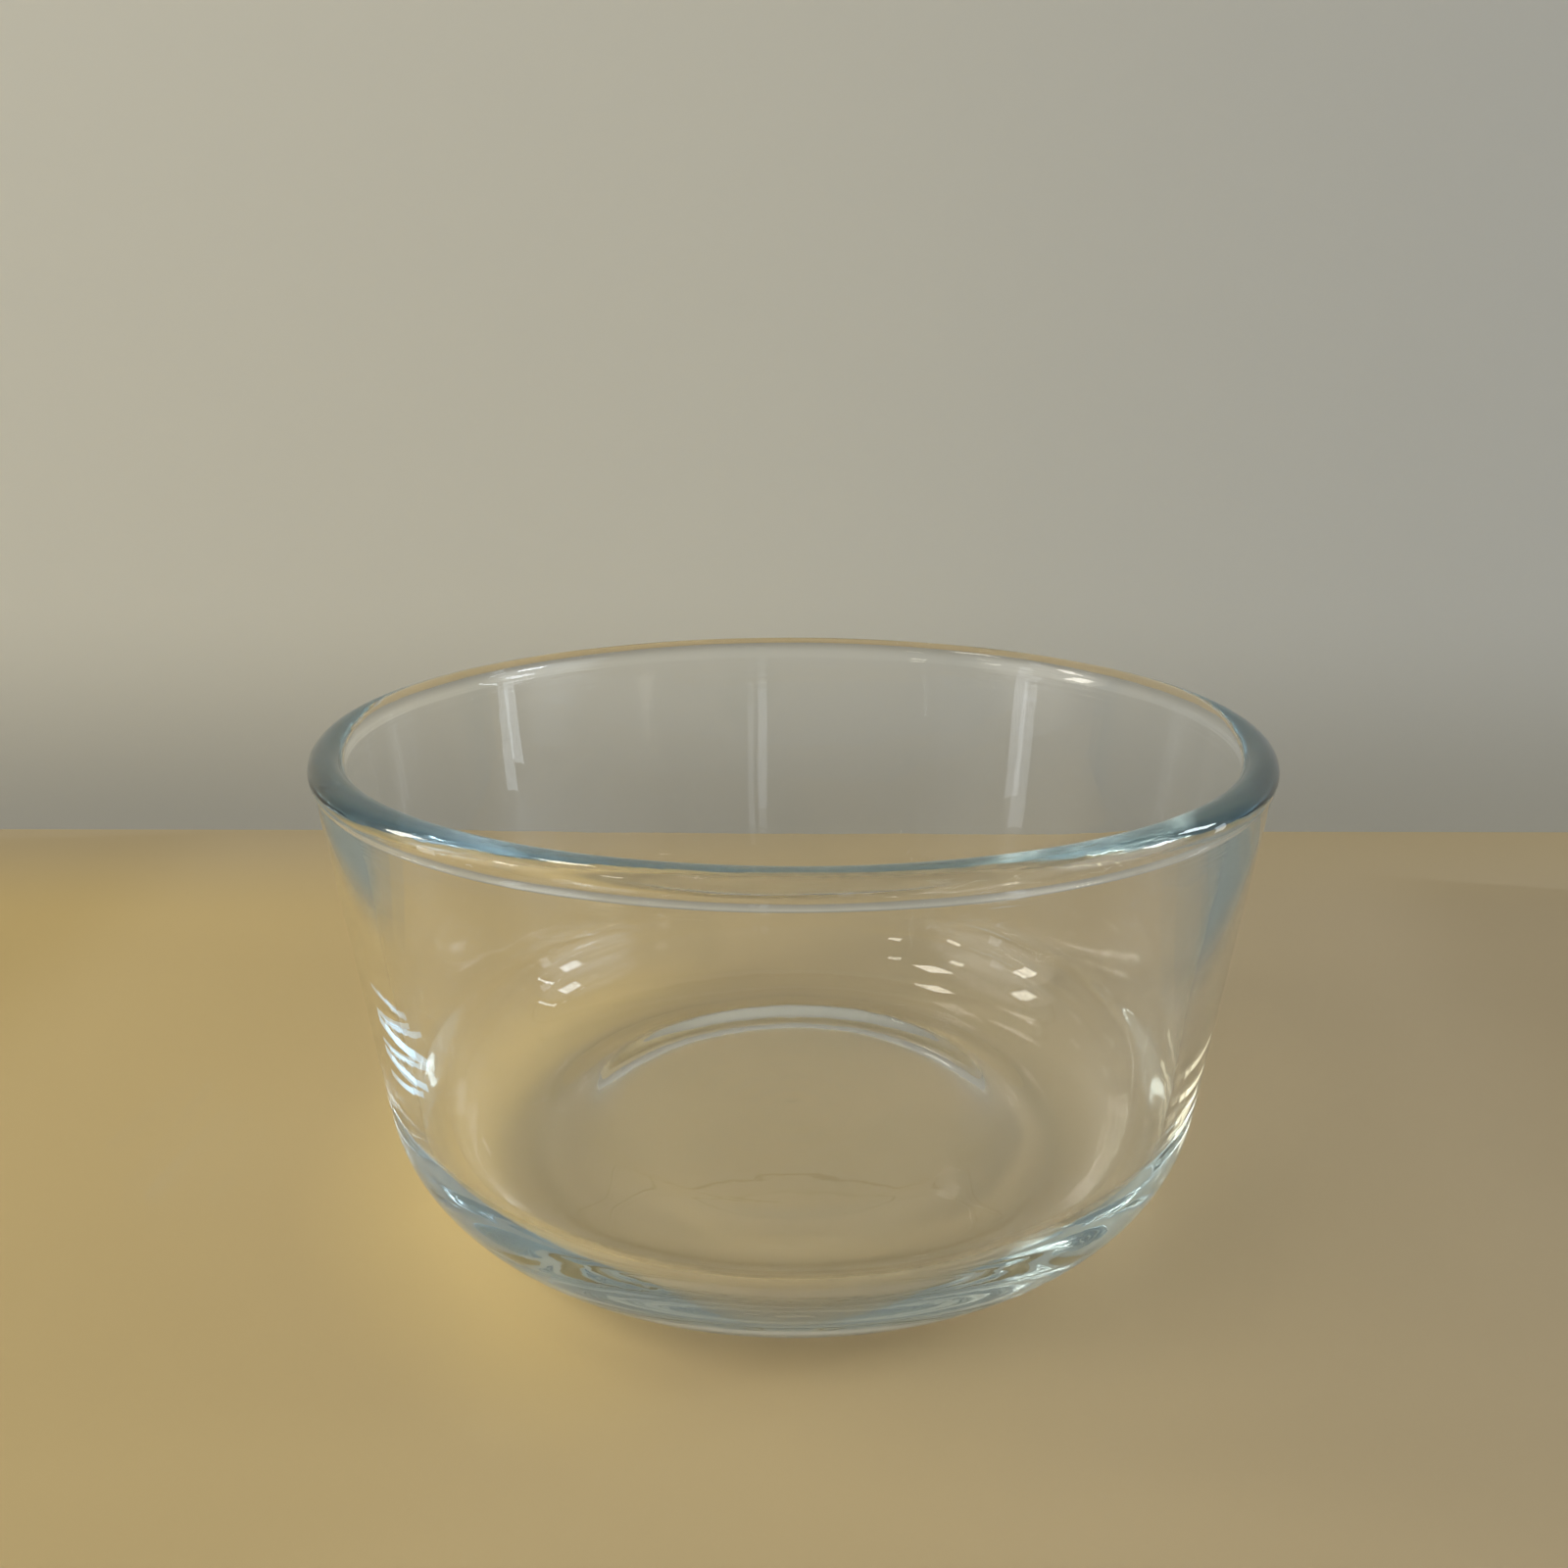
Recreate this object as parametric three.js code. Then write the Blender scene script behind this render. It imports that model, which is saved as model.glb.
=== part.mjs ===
// Round clear-glass dish, pressed in one piece: a floor on a foot ring, a curved corner,
// a wall that leans out, and a rounded rim bead. It has no lid, handle or moving part.
// Millimetres, +Z up. The origin is on the table, in the middle of the foot ring.

import * as THREE from "three";

// Overall size.
const RIM_DIAMETER = 155; // across the outside of the bead
const HEIGHT = 79;

// Rim bead: full-round in section, and slightly proud of the wall below it.
const RIM_THICKNESS = 5.6;
const BEAD_PROUD = 0.4; // measured at the height of the bead's middle
const BEAD_FILLET = 1; // hollow radius where the bead runs into the wall

// Wall.
const WALL_DRAFT = 7.25; // degrees that the outside leans out from upright
const WALL_AT_CORNER = 4.7; // thickness where the corner begins

// Corner between wall and floor.
const OUTER_CORNER_RADIUS = 21.5;
const INNER_CORNER_RADIUS = 17.5;

// Floor: pushed up in the middle, with a crown inside and a recess underneath.
const FLOOR_THICKNESS = 7.2; // from the table up to the edge of the inner floor
const FLOOR_CROWN = 3.3; // rise of the middle of the inner floor
const CROWN_SLOPE = 12.7; // width of the slope up to the crown
const BEARING_WIDTH = 2; // flat ring that the dish stands on
const RECESS_DEPTH = 2.4;
const RECESS_SLOPE = 16; // width of the slope from the bearing ring into the recess

const SIDES = 72; // straight sides that stand for the round of the dish

const GLASS_COLOUR = 0xdfeceb;

const point = (r, z) => new THREE.Vector2(r, z);

const arc = (centre, radius, from, to, steps) =>
  new THREE.EllipseCurve(centre.x, centre.y, radius, radius, from, to, to < from).getPoints(steps);

// A slope from one level to another that leaves both of them flat.
const easedSlope = (start, end, steps) => {
  const third = (end.x - start.x) / 3;
  const leaving = point(start.x + third, start.y);
  const arriving = point(end.x - third, end.y);
  return new THREE.CubicBezierCurve(start, leaving, arriving, end).getPoints(steps);
};

// Outer wall: a straight line past the bead, tangent to the outer corner.
const draft = THREE.MathUtils.degToRad(WALL_DRAFT);
const wallUp = point(Math.sin(draft), Math.cos(draft));
const wallOut = point(Math.cos(draft), -Math.sin(draft));
const beadRadius = RIM_THICKNESS / 2;
const bead = point(RIM_DIAMETER / 2 - beadRadius, HEIGHT - beadRadius);
const wallTop = point(RIM_DIAMETER / 2 - BEAD_PROUD, bead.y);
const outerRadiusAt = (z) => wallTop.x - (wallTop.y - z) * Math.tan(draft);

// Outer corner: tangent to the table and to the wall.
const cornerTop = OUTER_CORNER_RADIUS * (1 - Math.sin(draft));
const footRadius = outerRadiusAt(cornerTop) - OUTER_CORNER_RADIUS * Math.cos(draft);
const outerCorner = point(footRadius, OUTER_CORNER_RADIUS);

// Hollow under the bead: tangent to the wall and to the bead.
const toBead = bead.clone().sub(wallTop);
const filletAcross = BEAD_FILLET - toBead.dot(wallOut);
const filletDrop = Math.sqrt((beadRadius + BEAD_FILLET) ** 2 - filletAcross ** 2);
const fillet = wallTop
  .clone()
  .addScaledVector(wallOut, BEAD_FILLET)
  .addScaledVector(wallUp, toBead.dot(wallUp) - filletDrop);
const filletToBead = bead.clone().sub(fillet).angle();

// Inner wall: tangent to the bead, and WALL_AT_CORNER inside the outer wall at the corner.
const innerFoot = point(outerRadiusAt(cornerTop) - WALL_AT_CORNER, cornerTop);
const innerToBead = bead.clone().sub(innerFoot);
const innerDraft =
  Math.atan2(innerToBead.x, innerToBead.y) - Math.asin(beadRadius / innerToBead.length());
const innerRadiusAt = (z) => innerFoot.x + (z - innerFoot.y) * Math.tan(innerDraft);

// Inner corner: tangent to the inner wall and to the edge of the floor.
const innerCornerMiddle = FLOOR_THICKNESS + INNER_CORNER_RADIUS;
const innerCornerTop = innerCornerMiddle - INNER_CORNER_RADIUS * Math.sin(innerDraft);
const floorRadius = innerRadiusAt(innerCornerTop) - INNER_CORNER_RADIUS * Math.cos(innerDraft);
const innerCorner = point(floorRadius, innerCornerMiddle);

// Underside: bearing ring, and a slope into the flat middle of the recess.
const recessEdge = footRadius - BEARING_WIDTH;
const recessFlat = recessEdge - RECESS_SLOPE;

// Half-section from the middle of the underside, round the outside and the rim, to the middle of the floor.
const outline = [
  point(0, RECESS_DEPTH),
  ...easedSlope(point(recessFlat, RECESS_DEPTH), point(recessEdge, 0), 8),
  ...arc(outerCorner, OUTER_CORNER_RADIUS, -Math.PI / 2, -draft, 14),
  ...arc(fillet, BEAD_FILLET, Math.PI - draft, filletToBead, 3),
  ...arc(bead, beadRadius, filletToBead - Math.PI, 0, 3),
  ...arc(bead, beadRadius, 0, Math.PI / 2, 6),
  ...arc(bead, beadRadius, Math.PI / 2, Math.PI - innerDraft, 6),
  ...arc(innerCorner, INNER_CORNER_RADIUS, -innerDraft, -Math.PI / 2, 12),
  ...easedSlope(
    point(floorRadius, FLOOR_THICKNESS),
    point(floorRadius - CROWN_SLOPE, FLOOR_THICKNESS + FLOOR_CROWN),
    8,
  ),
  point(0, FLOOR_THICKNESS + FLOOR_CROWN),
];
const halfSection = outline.filter((p, i) => i === 0 || p.distanceTo(outline[i - 1]) > 1e-6);

// The lathe turns about Y, so the dish is stood up onto +Z.
const dishGeometry = new THREE.LatheGeometry(halfSection, SIDES).rotateX(Math.PI / 2);
const clearGlass = new THREE.MeshStandardMaterial({
  color: GLASS_COLOUR,
  roughness: 0.05,
  metalness: 0,
  transparent: true,
  opacity: 0.35,
});

const glassDish = new THREE.Mesh(dishGeometry, clearGlass);
glassDish.name = "glass_dish";

const part = new THREE.Group();
part.name = "round_glass_dish";
part.add(glassDish);

export default part;
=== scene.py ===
"""Round clear-glass dish on a plain pale floor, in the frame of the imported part.

Sizes are in millimetres unless a comment says otherwise.
"""

import math

import bmesh
import bpy
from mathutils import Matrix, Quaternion, Vector, noise


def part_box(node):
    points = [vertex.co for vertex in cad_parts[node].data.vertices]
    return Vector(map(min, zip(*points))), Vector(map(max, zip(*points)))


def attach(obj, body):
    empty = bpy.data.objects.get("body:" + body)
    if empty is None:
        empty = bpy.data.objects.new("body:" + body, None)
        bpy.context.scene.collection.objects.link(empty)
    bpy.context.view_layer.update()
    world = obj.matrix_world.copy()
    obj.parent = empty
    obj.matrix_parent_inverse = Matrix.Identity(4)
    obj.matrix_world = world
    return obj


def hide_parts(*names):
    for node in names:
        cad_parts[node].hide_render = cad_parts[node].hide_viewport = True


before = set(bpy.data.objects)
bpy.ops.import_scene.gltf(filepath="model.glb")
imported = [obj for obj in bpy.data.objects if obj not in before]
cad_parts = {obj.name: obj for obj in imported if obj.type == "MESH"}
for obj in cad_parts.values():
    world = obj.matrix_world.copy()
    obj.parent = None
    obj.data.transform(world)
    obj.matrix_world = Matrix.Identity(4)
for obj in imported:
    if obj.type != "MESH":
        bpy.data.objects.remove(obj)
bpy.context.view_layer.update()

MM = 0.001

# Half-section of the dish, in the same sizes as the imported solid.
node_low, node_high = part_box("glass_dish")
RIM_RADIUS = (node_high[0] - node_low[0]) / 2 / MM
HEIGHT = node_high[2] / MM
RIM_THICKNESS = 5.6
BEAD_PROUD = 0.4
BEAD_FILLET = 1.0
WALL_DRAFT = math.radians(7.25)
WALL_AT_CORNER = 4.7
OUTER_CORNER_RADIUS = 21.5
INNER_CORNER_RADIUS = 17.5
FLOOR_THICKNESS = 7.2
FLOOR_CROWN = 3.3
CROWN_SLOPE = 12.7
BEARING_WIDTH = 2.0
RECESS_DEPTH = 2.4
RECESS_SLOPE = 16.0
ROUND_STEPS = 256
MERGE_DISTANCE = 0.0001

# Faint rings that the mould leaves in the middle of the base, inside and underneath.
RING_HEIGHT = 0.03
RING_PITCH = 5.0
RING_REACH = 30.0

# Unevenness that pressing and fire polishing leave in the surface.
WAVE_HEIGHT = 0.045
WAVE_LENGTH = 22.0
WAVE_APART = 14.0  # keeps the waves of the inside and the outside unlike each other

# The glass itself. Its tint shows in the rim and the corner, where light runs far through it.
GLASS_IOR = 1.52
TINT_COLOUR = (0.40, 0.60, 0.66)
TINT_DENSITY = 5.0  # per metre
GLASS_BOUNCES = 64

# Finish of the glass: lines round the rim, a fine skin all over, and smears from handling.
# Scales are per metre, and the smear limits are levels of its noise.
STREAK_DEPTH = 0.02
STREAKS_PER_METRE = 1400.0
STREAKS_PER_TURN = 3.0
SKIN_SCALE = 260.0
SKIN_SHARE = 0.25
SMEAR_SCALE = 42.0
SMEAR_LIMITS = (0.52, 0.75)
SMEAR_ROUGHNESS = 0.03
SMEAR_COLOUR = (0.96, 0.97, 0.97)

# Camera at the photograph's viewing angle.
FOCAL_PIXELS = 1380.0
IMAGE_PIXELS = 1600.0
SENSOR_WIDTH = 36.0
CAMERA_PLACE = (0.0, -221.2, 131.9)
CAMERA_PITCH = math.radians(16.31)
CAMERA_YAW = math.radians(0.36)

# Stage.
FLOOR_REACH = 3000.0
FLOOR_GAP = 0.05
BACKDROP_DISTANCE = 178.0
BACKDROP_HALF_WIDTH = 700.0
BACKDROP_HEIGHT = 900.0
FLOOR_ROUGHNESS = 0.45
BACKDROP_ROUGHNESS = 0.8
CARD_ROUGHNESS = 0.6
STAGE_SHEEN = 0.4

# Colours of the lamps.
COOL = (0.84, 0.93, 1.0)
WARM = (1.0, 0.95, 0.82)
PALE = (0.90, 0.95, 1.0)
SKY = (0.36, 0.69, 1.0)
GOLD = (1.0, 0.95, 0.68)

# Small lamps, seen as highlights: name, azimuth, elevation, width and height in degrees, distance,
# radiance, colour. Azimuth 0 is the viewer's side and 90 the right-hand side.
SOFTBOXES = [
    ("right_near", 88, 23, 8, 8, 1500, 18, COOL),
    ("right_far", 104, 24, 5, 14, 1500, 12, COOL),
    ("right_low", 98, 4, 4, 14, 500, 3, COOL),
    ("left_near", 297, 23, 5, 4, 900, 14, WARM),
    ("left_side", 265, 24, 6, 14, 900, 12, WARM),
    ("left_low", 282, 2, 5, 14, 500, 2.2, PALE),
    ("left_front", 318, 37, 4, 4, 1200, 10, WARM),
    ("left_high", 272, 61, 8, 7, 650, 14, WARM),
    ("front_pane", 10, 2, 3, 12, 420, 1.0, PALE),
    ("front_pane_2", 14, 0, 2, 12, 420, 0.6, PALE),
]

# Narrow lamps beside the dish that draw bright streaks in its lower corners: name, place on the floor,
# roll in degrees, width, length, radiance, colour. Only the glass shows them. They shine at the corner,
# at a radius and height, within a spread that hardly shows them from above.
STRIP_RISE = 2.0
STRIP_TARGET = (62.0, 6.0)
STRIP_SPREAD = 140.0  # degrees
EDGE_STRIPS = [
    ("left_strip_1", (-96, -8), 4, 1.4, 22, 1.6, SKY),
    ("left_strip_2", (-101, -6), -3, 2.0, 28, 2.4, SKY),
    ("left_strip_3", (-106, -4), 3, 1.2, 34, 1.8, SKY),
    ("left_strip_4", (-111, -2), -4, 2.2, 36, 2.4, SKY),
    ("left_strip_5", (-117, 2), 3, 1.4, 38, 1.6, SKY),
    ("left_strip_6", (-124, 12), -4, 1.2, 30, 1.0, SKY),
    ("right_strip_1", (76, -8), 5, 3.0, 12, 1.8, GOLD),
    ("right_strip_2", (81, -8), -4, 1.6, 18, 2.4, GOLD),
    ("right_strip_3", (85, -2), 4, 2.4, 16, 2.2, GOLD),
    ("right_strip_4", (90, 6), -3, 1.6, 24, 1.8, GOLD),
    ("right_strip_5", (98, 14), 3, 1.6, 26, 1.2, GOLD),
]

# Grey cards on the floor that darken the edges of the glass. They fade in over a share of their width.
CARD_RISE = 0.2
CARD_GREY = (0.25, 0.28, 0.26)
CARD_FADE = 0.45

# Broad soft lights on the surroundings: azimuth, elevation and half-angle in degrees, strength, colour.
GLOWS = [
    (270, 20, 20, 3.2, WARM),
    (300, 45, 20, 4.4, WARM),
    (75, 45, 20, 2.0, COOL),
]
GLOW_EDGE = 0.6
AMBIENT_LOW = (0.42, 0.43, 0.45)
AMBIENT_HIGH = (0.06, 0.06, 0.06)

# What the glass shows of the surroundings where it looks straight at them.
HORIZON = (0.40, 0.41, 0.40)
LEFT_UPPER = (0.28, 0.30, 0.28)
RIGHT_UPPER = (0.22, 0.27, 0.30)
OVERHEAD = (0.30, 0.31, 0.31)
SIDE_TURN = (-0.7, 0.7)  # from the left-hand colour to the right-hand one, as X of the direction
UPPER_RISE = (0.1, 0.4)  # from the horizon to the upper colours, as Z of the direction
OVERHEAD_RISE = (0.5, 0.95)
SEEN_GLOWS = [
    (78, 18, 22, 1.4, COOL),
    (281, 21, 27, 1.4, WARM),
]

# Stage colours, with painted light and shade, and where one runs into the next.
# Painted light and shade on the floor: lighter and warmer to the left, darker to the right, darker and
# greyer towards the wall.
FLOOR_LIT_LEFT = (0.52, 0.385, 0.17)
FLOOR_SHADED_RIGHT = (0.40, 0.322, 0.208)
FLOOR_SHADED_BACK = (0.43, 0.34, 0.20)
FLOOR_SIDES = (-200.0, 200.0)
FLOOR_BACK_RUN = (100.0, BACKDROP_DISTANCE)
FLOOR_PAINTED_CAUSTIC = (0.575, 0.43, 0.191)  # painted pool of light where the wall gathers light, left of the foot ring
LIT_INNER = (49.0, 56.0)
LIT_OUTER = (90.0, 66.0)
LIT_SIDE = (-10.0, -45.0)
# Painted light and shade on the backdrop: darker along its foot, lighter to the left, darker and bluer
# towards its far ends.
BACKDROP_FOOT_SHADE = (0.455, 0.46, 0.43)
BACKDROP_LIT_LEFT = (0.72, 0.73, 0.68)
BACKDROP_SHADED_RIGHT = (0.62, 0.64, 0.63)
BACKDROP_FAR_SHADE = (0.28, 0.39, 0.48)
BACKDROP_SIDES = (-50.0, 250.0)
BACKDROP_RISE = (0.0, 75.0)
BACKDROP_FAR_RUN = (270.0, 550.0)
BACKDROP_FAR_SQUASH = 0.5  # heights count half in the distance from the middle


def arc(centre, radius, start, end, steps):
    """Points on a circle from one angle to another."""
    points = []
    for i in range(steps + 1):
        angle = start + (end - start) * i / steps
        points.append((centre[0] + radius * math.cos(angle), centre[1] + radius * math.sin(angle)))
    return points


def straight(start, end, steps):
    """Points along a line, without its ends."""
    points = []
    for i in range(1, steps):
        share = i / steps
        points.append((start[0] + (end[0] - start[0]) * share, start[1] + (end[1] - start[1]) * share))
    return points


def eased_slope(start, end, steps):
    """A slope from one level to another that leaves both of them flat."""
    points = []
    for i in range(steps + 1):
        share = i / steps
        eased = share * share * (3 - 2 * share)
        points.append((start[0] + (end[0] - start[0]) * share, start[1] + (end[1] - start[1]) * eased))
    return points


def mould_rings(points):
    """The middle of the base with its faint rings, which fade out towards their reach."""
    ringed = []
    for r, z in points:
        fade = max(0.0, 1 - r / RING_REACH)
        ringed.append((r, z + RING_HEIGHT * fade * math.sin(2 * math.pi * r / RING_PITCH)))
    return ringed


def half_section():
    """The outline of the glass.

    It runs from the middle of the underside, round the outside and the rim, to the middle of the floor.
    """
    bead_radius = RIM_THICKNESS / 2
    bead = (RIM_RADIUS - bead_radius, HEIGHT - bead_radius)
    wall_top = (RIM_RADIUS - BEAD_PROUD, bead[1])
    wall_up = (math.sin(WALL_DRAFT), math.cos(WALL_DRAFT))
    wall_out = (math.cos(WALL_DRAFT), -math.sin(WALL_DRAFT))

    corner_top = OUTER_CORNER_RADIUS * (1 - math.sin(WALL_DRAFT))
    corner_wall = wall_top[0] - (wall_top[1] - corner_top) * math.tan(WALL_DRAFT)
    foot_radius = corner_wall - OUTER_CORNER_RADIUS * math.cos(WALL_DRAFT)

    across = BEAD_FILLET - (bead[0] - wall_top[0]) * wall_out[0]
    along = (bead[0] - wall_top[0]) * wall_up[0]
    drop = math.sqrt((bead_radius + BEAD_FILLET) ** 2 - across ** 2)
    fillet = (
        wall_top[0] + wall_out[0] * BEAD_FILLET + wall_up[0] * (along - drop),
        wall_top[1] + wall_out[1] * BEAD_FILLET + wall_up[1] * (along - drop),
    )
    fillet_to_bead = math.atan2(bead[1] - fillet[1], bead[0] - fillet[0])

    inner_foot = (corner_wall - WALL_AT_CORNER, corner_top)
    to_bead = (bead[0] - inner_foot[0], bead[1] - inner_foot[1])
    inner_draft = math.atan2(*to_bead) - math.asin(bead_radius / math.hypot(*to_bead))
    inner_corner_middle = FLOOR_THICKNESS + INNER_CORNER_RADIUS
    inner_corner_top = inner_corner_middle - INNER_CORNER_RADIUS * math.sin(inner_draft)
    inner_wall = inner_foot[0] + (inner_corner_top - inner_foot[1]) * math.tan(inner_draft)
    floor_radius = inner_wall - INNER_CORNER_RADIUS * math.cos(inner_draft)

    recess_edge = foot_radius - BEARING_WIDTH
    recess_flat = recess_edge - RECESS_SLOPE

    underside = mould_rings(straight((0, RECESS_DEPTH), (recess_flat, RECESS_DEPTH), steps=56))
    recess = eased_slope((recess_flat, RECESS_DEPTH), (recess_edge, 0), steps=24)
    bearing = straight((recess_edge, 0), (foot_radius, 0), steps=4)
    corner_middle = (foot_radius, OUTER_CORNER_RADIUS)
    corner = arc(corner_middle, OUTER_CORNER_RADIUS, -math.pi / 2, -WALL_DRAFT, steps=40)
    hollow = arc(fillet, BEAD_FILLET, math.pi - WALL_DRAFT, fillet_to_bead, steps=8)
    wall = straight(corner[-1], hollow[0], steps=26)
    rim = arc(bead, bead_radius, fillet_to_bead - math.pi, math.pi - inner_draft, steps=36)
    inner_middle = (floor_radius, inner_corner_middle)
    inner_corner = arc(inner_middle, INNER_CORNER_RADIUS, -inner_draft, -math.pi / 2, steps=36)
    inside = straight(rim[-1], inner_corner[0], steps=26)
    crown_edge = floor_radius - CROWN_SLOPE
    crown_top = FLOOR_THICKNESS + FLOOR_CROWN
    crown = eased_slope((floor_radius, FLOOR_THICKNESS), (crown_edge, crown_top), steps=20)
    floor = mould_rings(straight(crown[-1], (0, crown_top), steps=62))

    return (
        [(0, RECESS_DEPTH)] + underside + recess + bearing + corner + wall + hollow
        + rim + inside + inner_corner + crown + floor + [(0, crown_top)]
    )


def add_object(name, bm):
    """A mesh object at the origin from a finished bmesh."""
    mesh = bpy.data.meshes.new(name)
    bm.to_mesh(mesh)
    bm.free()
    piece = bpy.data.objects.new(name, mesh)
    bpy.context.scene.collection.objects.link(piece)
    return piece


def waviness(place, normal):
    """Height of the pressed surface's soft waves at a point."""
    sample = (place + normal * WAVE_APART * MM) / (WAVE_LENGTH * MM)
    return WAVE_HEIGHT * MM * noise.noise(sample)


def make_dish():
    """The dish, turned from its half-section and then given its soft waves."""
    bm = bmesh.new()
    outline = [bm.verts.new((r * MM, 0, z * MM)) for r, z in half_section()]
    edges = [bm.edges.new(pair) for pair in zip(outline, outline[1:])]
    bmesh.ops.spin(
        bm,
        geom=outline + edges,
        cent=(0, 0, 0),
        axis=(0, 0, 1),
        angle=2 * math.pi,
        steps=ROUND_STEPS,
        use_merge=True,
    )
    bmesh.ops.remove_doubles(bm, verts=bm.verts, dist=MERGE_DISTANCE * MM)
    bmesh.ops.recalc_face_normals(bm, faces=bm.faces)
    bm.normal_update()
    shifts = [(vert, vert.normal * waviness(vert.co, vert.normal)) for vert in bm.verts]
    for vert, shift in shifts:
        vert.co += shift
    for face in bm.faces:
        face.smooth = True
    return add_object("dish", bm)


def add_math(tree, operation, first, second):
    """A maths node on two sockets or numbers."""
    node = tree.nodes.new("ShaderNodeMath")
    node.operation = operation
    for place, value in enumerate((first, second)):
        if isinstance(value, (int, float)):
            node.inputs[place].default_value = value
        else:
            tree.links.new(value, node.inputs[place])
    return node.outputs[0]


def side_share(tree, value, start, end):
    """0 where a value is at start, 1 at end, eased between."""
    node = tree.nodes.new("ShaderNodeMapRange")
    node.interpolation_type = "SMOOTHSTEP"
    tree.links.new(value, node.inputs["Value"])
    node.inputs["From Min"].default_value = start
    node.inputs["From Max"].default_value = end
    return node.outputs["Result"]


def share_between(tree, value, limits):
    """The share of the way that a place has gone between two limits in millimetres."""
    return side_share(tree, value, limits[0] * MM, limits[1] * MM)


def mix_colours(tree, share, first, second):
    """A colour between two colours or colour sockets."""
    node = tree.nodes.new("ShaderNodeMix")
    node.data_type = "RGBA"
    tree.links.new(share, node.inputs["Factor"])
    for socket, value in ((node.inputs[6], first), (node.inputs[7], second)):
        if isinstance(value, tuple):
            socket.default_value = (*value, 1)
        else:
            tree.links.new(value, socket)
    return node.outputs[2]


def object_place(tree):
    """The X, Y and Z of a point in the frame."""
    place = tree.nodes.new("ShaderNodeTexCoord")
    parts = tree.nodes.new("ShaderNodeSeparateXYZ")
    tree.links.new(place.outputs["Object"], parts.inputs[0])
    return parts.outputs


def distance_from_middle(tree, across, along):
    """The length of two sides of a right angle."""
    squares = [add_math(tree, "POWER", side, 2) for side in (across, along)]
    return add_math(tree, "SQRT", add_math(tree, "ADD", *squares), 0)


def add_noise(tree, place, scale, detail):
    """A noise pattern on a set of coordinates."""
    node = tree.nodes.new("ShaderNodeTexNoise")
    tree.links.new(place, node.inputs["Vector"])
    node.inputs["Scale"].default_value = scale
    node.inputs["Detail"].default_value = detail
    return node.outputs["Fac"]


def polish_streaks(tree, place):
    """Fine lines that fire polishing draws round the rim."""
    radius = distance_from_middle(tree, place["X"], place["Y"])
    turn = add_math(tree, "ARCTAN2", place["Y"], place["X"])
    round_the_rim = tree.nodes.new("ShaderNodeCombineXYZ")
    axes = (
        ("X", radius, STREAKS_PER_METRE),
        ("Y", turn, STREAKS_PER_TURN),
        ("Z", place["Z"], STREAKS_PER_METRE),
    )
    for axis, value, times in axes:
        tree.links.new(add_math(tree, "MULTIPLY", value, times), round_the_rim.inputs[axis])
    lines = add_noise(tree, round_the_rim.outputs["Vector"], scale=1.0, detail=2.0)
    rim_foot = (HEIGHT - 1.5 * RIM_THICKNESS) * MM
    on_rim = side_share(tree, place["Z"], rim_foot, (HEIGHT - RIM_THICKNESS) * MM)
    return add_math(tree, "MULTIPLY", lines, on_rim)


def clear_glass():
    """Clear soda-lime glass with a faint blue-green tint and a used, fire-polished surface."""
    material = bpy.data.materials.new("clear_glass")
    material.use_nodes = True
    tree = material.node_tree
    nodes = tree.nodes
    links = tree.links
    shader = nodes["Principled BSDF"]
    shader.inputs["IOR"].default_value = GLASS_IOR
    shader.inputs["Transmission Weight"].default_value = 1.0
    tint = nodes.new("ShaderNodeVolumeAbsorption")
    tint.inputs["Color"].default_value = (*TINT_COLOUR, 1)
    tint.inputs["Density"].default_value = TINT_DENSITY
    links.new(tint.outputs["Volume"], nodes["Material Output"].inputs["Volume"])

    spot = nodes.new("ShaderNodeTexCoord").outputs["Object"]
    smear = side_share(tree, add_noise(tree, spot, SMEAR_SCALE, detail=4.0), *SMEAR_LIMITS)
    links.new(mix_colours(tree, smear, (1.0, 1.0, 1.0), SMEAR_COLOUR), shader.inputs["Base Color"])
    links.new(add_math(tree, "MULTIPLY", smear, SMEAR_ROUGHNESS), shader.inputs["Roughness"])

    skin = add_math(tree, "MULTIPLY", add_noise(tree, spot, SKIN_SCALE, detail=2.0), SKIN_SHARE)
    streaks = polish_streaks(tree, object_place(tree))
    relief = nodes.new("ShaderNodeBump")
    relief.inputs["Strength"].default_value = 1.0
    relief.inputs["Distance"].default_value = STREAK_DEPTH * MM
    links.new(add_math(tree, "ADD", streaks, skin), relief.inputs["Height"])
    links.new(relief.outputs["Normal"], shader.inputs["Normal"])
    return material


def plain_finish(name, roughness):
    """A matt stage surface."""
    material = bpy.data.materials.new(name)
    material.use_nodes = True
    shader = material.node_tree.nodes["Principled BSDF"]
    shader.inputs["Roughness"].default_value = roughness
    shader.inputs["Specular IOR Level"].default_value = STAGE_SHEEN
    return material


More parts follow.
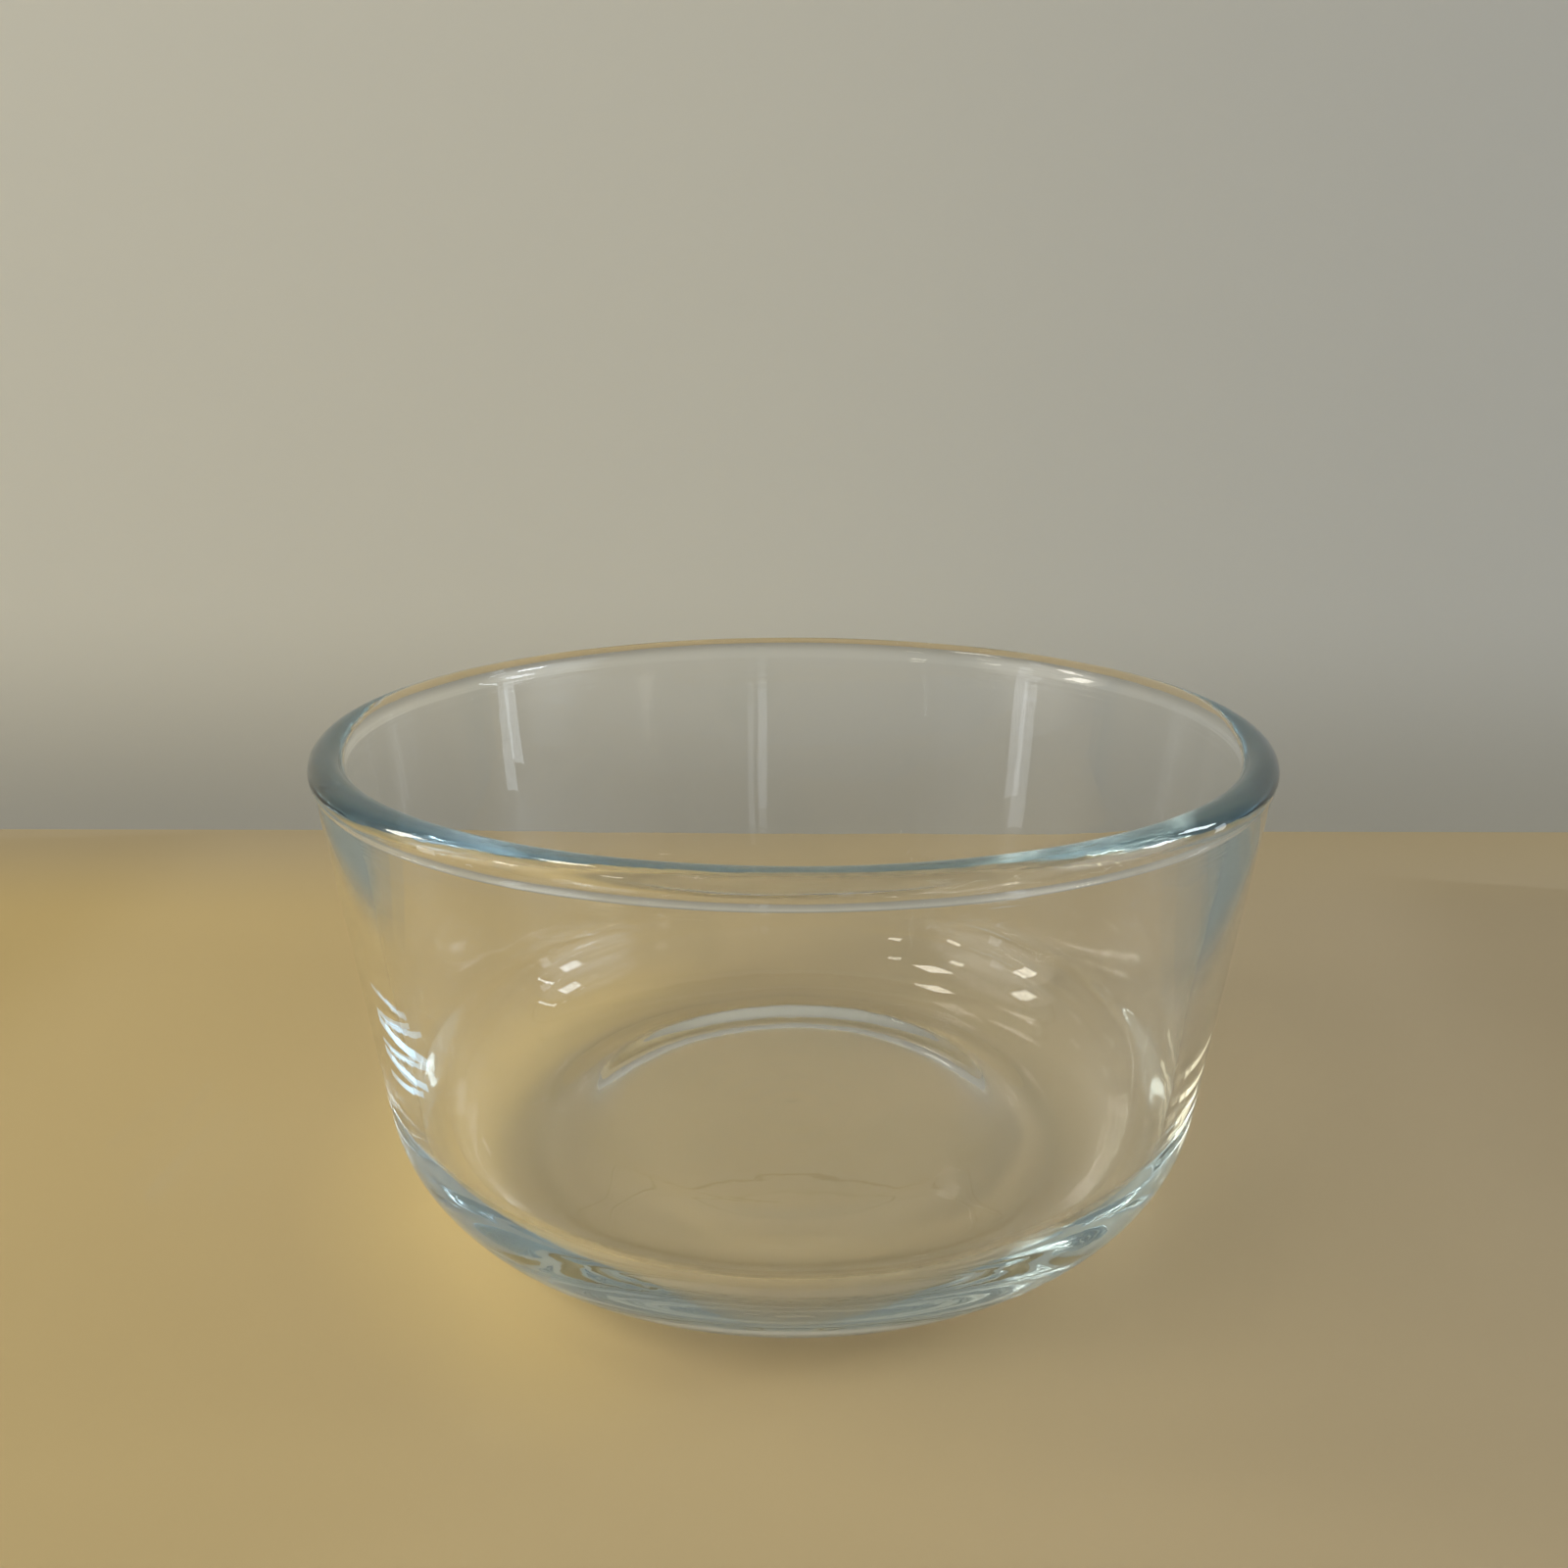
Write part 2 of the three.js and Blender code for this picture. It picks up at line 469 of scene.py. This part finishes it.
def make_floor():
    """A wide floor a hair below the foot ring, with painted light and shade and a painted pool of
    light.
    """
    bm = bmesh.new()
    bmesh.ops.create_circle(bm, cap_ends=True, radius=FLOOR_REACH * MM, segments=64)
    bmesh.ops.translate(bm, verts=bm.verts, vec=(0, 0, -FLOOR_GAP * MM))
    floor = add_object("floor", bm)
    material = plain_finish("floor_sand", FLOOR_ROUGHNESS)
    tree = material.node_tree
    place = object_place(tree)
    # Painted light and shade: lighter to the left, darker to the right and towards the wall.
    right = share_between(tree, place["X"], FLOOR_SIDES)
    across = mix_colours(tree, right, FLOOR_LIT_LEFT, FLOOR_SHADED_RIGHT)
    back = share_between(tree, place["Y"], FLOOR_BACK_RUN)
    plain = mix_colours(tree, back, across, FLOOR_SHADED_BACK)
    # Painted pool of light on the floor, left of the foot ring.
    away = distance_from_middle(tree, place["X"], place["Y"])
    inner = share_between(tree, away, LIT_INNER)
    outer = share_between(tree, away, LIT_OUTER)
    ring = add_math(tree, "MULTIPLY", inner, outer)
    painted_caustic = add_math(tree, "MULTIPLY", ring, share_between(tree, place["X"], LIT_SIDE))
    colour = mix_colours(tree, painted_caustic, plain, FLOOR_PAINTED_CAUSTIC)
    tree.links.new(colour, tree.nodes["Principled BSDF"].inputs["Base Color"])
    floor.data.materials.append(material)
    return floor


def edge_card(name, near, far, front, back, turn):
    """A grey card on the floor, turned about the dish's axis in degrees, that only the glass shows."""
    bm = bmesh.new()
    corners = [(near, front), (far, front), (far, back), (near, back)]
    bm.faces.new([bm.verts.new((x * MM, y * MM, CARD_RISE * MM)) for x, y in corners])
    card = add_object(name, bm)
    material = plain_finish(name + "_grey", CARD_ROUGHNESS)
    tree = material.node_tree
    shader = tree.nodes["Principled BSDF"]
    shader.inputs["Base Color"].default_value = (*CARD_GREY, 1)
    faded = near + (far - near) * CARD_FADE
    shown = share_between(tree, object_place(tree)["X"], (near, faded))
    tree.links.new(shown, shader.inputs["Alpha"])
    card.data.materials.append(material)
    card.visible_camera = False
    card.visible_diffuse = False
    card.visible_shadow = False
    card.rotation_euler.z = math.radians(turn)
    return card


def make_backdrop():
    """A wall behind the dish that shows only from its front, with painted light and shade on it."""
    bm = bmesh.new()
    low = [
        bm.verts.new((-BACKDROP_HALF_WIDTH * MM, BACKDROP_DISTANCE * MM, -FLOOR_GAP * MM)),
        bm.verts.new((BACKDROP_HALF_WIDTH * MM, BACKDROP_DISTANCE * MM, -FLOOR_GAP * MM)),
    ]
    edge = bm.edges.new(low)
    made = bmesh.ops.extrude_edge_only(bm, edges=[edge])
    top = [v for v in made["geom"] if isinstance(v, bmesh.types.BMVert)]
    bmesh.ops.translate(bm, verts=top, vec=(0, 0, BACKDROP_HEIGHT * MM))
    for face in bm.faces:
        face.normal_update()
        if face.normal.y > 0:
            face.normal_flip()
    backdrop = add_object("backdrop", bm)
    material = plain_finish("backdrop_grey", BACKDROP_ROUGHNESS)
    tree = material.node_tree
    nodes = tree.nodes
    links = tree.links
    place = object_place(tree)
    # Painted light and shade: lighter to the left, darker along the foot and towards the far ends.
    right = share_between(tree, place["X"], BACKDROP_SIDES)
    across = mix_colours(tree, right, BACKDROP_LIT_LEFT, BACKDROP_SHADED_RIGHT)
    lit = mix_colours(tree, share_between(tree, place["Z"], BACKDROP_RISE), BACKDROP_FOOT_SHADE, across)
    squashed = add_math(tree, "MULTIPLY", place["Z"], BACKDROP_FAR_SQUASH)
    away = distance_from_middle(tree, place["X"], squashed)
    colour = mix_colours(tree, share_between(tree, away, BACKDROP_FAR_RUN), lit, BACKDROP_FAR_SHADE)
    links.new(colour, nodes["Principled BSDF"].inputs["Base Color"])
    side = nodes.new("ShaderNodeNewGeometry")
    see_through = nodes.new("ShaderNodeBsdfTransparent")
    mix = nodes.new("ShaderNodeMixShader")
    links.new(side.outputs["Backfacing"], mix.inputs["Fac"])
    links.new(nodes["Principled BSDF"].outputs["BSDF"], mix.inputs[1])
    links.new(see_through.outputs["BSDF"], mix.inputs[2])
    links.new(mix.outputs["Shader"], nodes["Material Output"].inputs["Surface"])
    backdrop.data.materials.append(material)
    return backdrop


def towards(azimuth, elevation):
    """The direction at an azimuth and elevation in degrees, as seen from the dish."""
    turn = math.radians(azimuth)
    rise = math.radians(elevation)
    return Vector((math.sin(turn) * math.cos(rise), -math.cos(turn) * math.cos(rise), math.sin(rise)))


def area_lamp(name, width, height, radiance, colour):
    """A rectangular lamp, hidden from the camera and not yet placed."""
    light = bpy.data.lights.new(name, "AREA")
    light.shape = "RECTANGLE"
    light.size = width * MM
    light.size_y = height * MM
    light.energy = radiance * math.pi * light.size * light.size_y
    light.color = colour
    lamp = bpy.data.objects.new(name, light)
    lamp.visible_camera = False
    bpy.context.scene.collection.objects.link(lamp)
    return lamp


def softbox(name, azimuth, elevation, width, height, distance, radiance, colour):
    """A lamp seen from the dish in a direction and at an angular size, all in degrees."""
    away = towards(azimuth, elevation)
    across = 2 * distance * math.tan(math.radians(width / 2))
    upright = 2 * distance * math.tan(math.radians(height / 2))
    lamp = area_lamp(name, across, upright, radiance, colour)
    lamp.location = Vector((0, 0, HEIGHT * MM / 2)) + away * distance * MM
    lamp.rotation_euler = away.to_track_quat("Z", "Y").to_euler()
    return lamp


def edge_strip(name, place, roll, width, length, radiance, colour):
    """A narrow lamp beside the dish that shines at its corner and is seen only in the glass."""
    start = Vector((place[0], place[1], STRIP_RISE))
    around = Vector((place[0], place[1], 0)).normalized()
    aim = around * STRIP_TARGET[0] + Vector((0, 0, STRIP_TARGET[1])) - start
    half_spread = math.radians(STRIP_SPREAD) / 2
    # A lamp with a spread is brighter along its axis, so its power is cut to keep the radiance there.
    spread_share = 1 - half_spread / math.tan(half_spread)
    strip = area_lamp(name, length, width, radiance * spread_share, colour)
    strip.data.spread = 2 * half_spread
    strip.location = start * MM
    turned = aim.to_track_quat("-Z", "Y") @ Quaternion((0, 0, 1), math.radians(roll))
    strip.rotation_euler = turned.to_euler()
    strip.visible_diffuse = False
    return strip


def add_glow(tree, direction, so_far, azimuth, elevation, half_angle, strength, colour):
    """A round soft light on the surroundings, added to the light so far."""
    facing = tree.nodes.new("ShaderNodeVectorMath")
    facing.operation = "DOT_PRODUCT"
    tree.links.new(direction, facing.inputs[0])
    facing.inputs[1].default_value = towards(azimuth, elevation)
    outer = math.cos(math.radians(half_angle))
    inner = math.cos(math.radians(half_angle * GLOW_EDGE))
    share = side_share(tree, facing.outputs["Value"], outer, inner)
    lit = tree.nodes.new("ShaderNodeMix")
    lit.data_type = "RGBA"
    lit.blend_type = "ADD"
    tree.links.new(share, lit.inputs["Factor"])
    tree.links.new(so_far, lit.inputs[6])
    lit.inputs[7].default_value = (*[strength * c for c in colour], 1)
    return lit.outputs[2]


def studio_world():
    """Broad soft lights, and what the glass and the camera see of the surroundings.

    The glass also sees soft windows there, and the camera doesn't.
    """
    world = bpy.data.worlds.new("studio")
    bpy.context.scene.world = world
    world.use_nodes = True
    tree = world.node_tree
    direction = tree.nodes.new("ShaderNodeTexCoord").outputs["Generated"]
    parts = tree.nodes.new("ShaderNodeSeparateXYZ")
    tree.links.new(direction, parts.inputs[0])

    light = tree.nodes["Background"]
    rise = side_share(tree, parts.outputs["Z"], 0.0, 1.0)
    glow = mix_colours(tree, rise, AMBIENT_LOW, AMBIENT_HIGH)
    for one in GLOWS:
        glow = add_glow(tree, direction, glow, *one)
    tree.links.new(glow, light.inputs["Color"])

    seen = tree.nodes.new("ShaderNodeBackground")
    right = side_share(tree, parts.outputs["X"], *SIDE_TURN)
    upper = mix_colours(tree, right, LEFT_UPPER, RIGHT_UPPER)
    sides = mix_colours(tree, side_share(tree, parts.outputs["Z"], *UPPER_RISE), HORIZON, upper)
    sight = mix_colours(tree, side_share(tree, parts.outputs["Z"], *OVERHEAD_RISE), sides, OVERHEAD)
    path = tree.nodes.new("ShaderNodeLightPath").outputs
    windows = sight
    for one in SEEN_GLOWS:
        windows = add_glow(tree, direction, windows, *one)
    tree.links.new(mix_colours(tree, path["Is Camera Ray"], windows, sight), seen.inputs["Color"])

    straight_look = add_math(tree, "MAXIMUM", path["Is Camera Ray"], path["Is Glossy Ray"])
    any_look = add_math(tree, "MAXIMUM", straight_look, path["Is Transmission Ray"])
    not_from_stage = add_math(tree, "LESS_THAN", path["Diffuse Depth"], 0.5)
    look = add_math(tree, "MULTIPLY", any_look, not_from_stage)
    mix = tree.nodes.new("ShaderNodeMixShader")
    tree.links.new(look, mix.inputs["Fac"])
    tree.links.new(light.outputs["Background"], mix.inputs[1])
    tree.links.new(seen.outputs["Background"], mix.inputs[2])
    tree.links.new(mix.outputs["Shader"], tree.nodes["World Output"].inputs["Surface"])


def make_camera():
    """The camera of the photograph."""
    camera = bpy.data.cameras.new("camera")
    camera.sensor_width = SENSOR_WIDTH
    camera.lens = SENSOR_WIDTH * FOCAL_PIXELS / IMAGE_PIXELS
    camera.clip_start = 1 * MM
    viewer = bpy.data.objects.new("camera", camera)
    viewer.location = [c * MM for c in CAMERA_PLACE]
    viewer.rotation_euler = (math.pi / 2 - CAMERA_PITCH, 0, CAMERA_YAW)
    bpy.context.scene.collection.objects.link(viewer)
    bpy.context.scene.camera = viewer


dish = make_dish()
dish.data.materials.append(clear_glass())
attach(dish, "root")
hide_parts("glass_dish")

left_card = edge_card("left_card", -146, -236, 10, 190, 5)
right_card = edge_card("right_card", 117, 207, 10, 170, -12)
make_floor()
make_backdrop()
for lamp in SOFTBOXES:
    softbox(*lamp)
for strip in EDGE_STRIPS:
    edge_strip(*strip)
studio_world()
make_camera()

scene = bpy.context.scene
scene.view_settings.view_transform = "Standard"
# Light runs round inside the rim and the corner by many reflections.
scene.cycles.max_bounces = GLASS_BOUNCES
scene.cycles.glossy_bounces = GLASS_BOUNCES
scene.cycles.transmission_bounces = GLASS_BOUNCES
scene.cycles.blur_glossy = 0
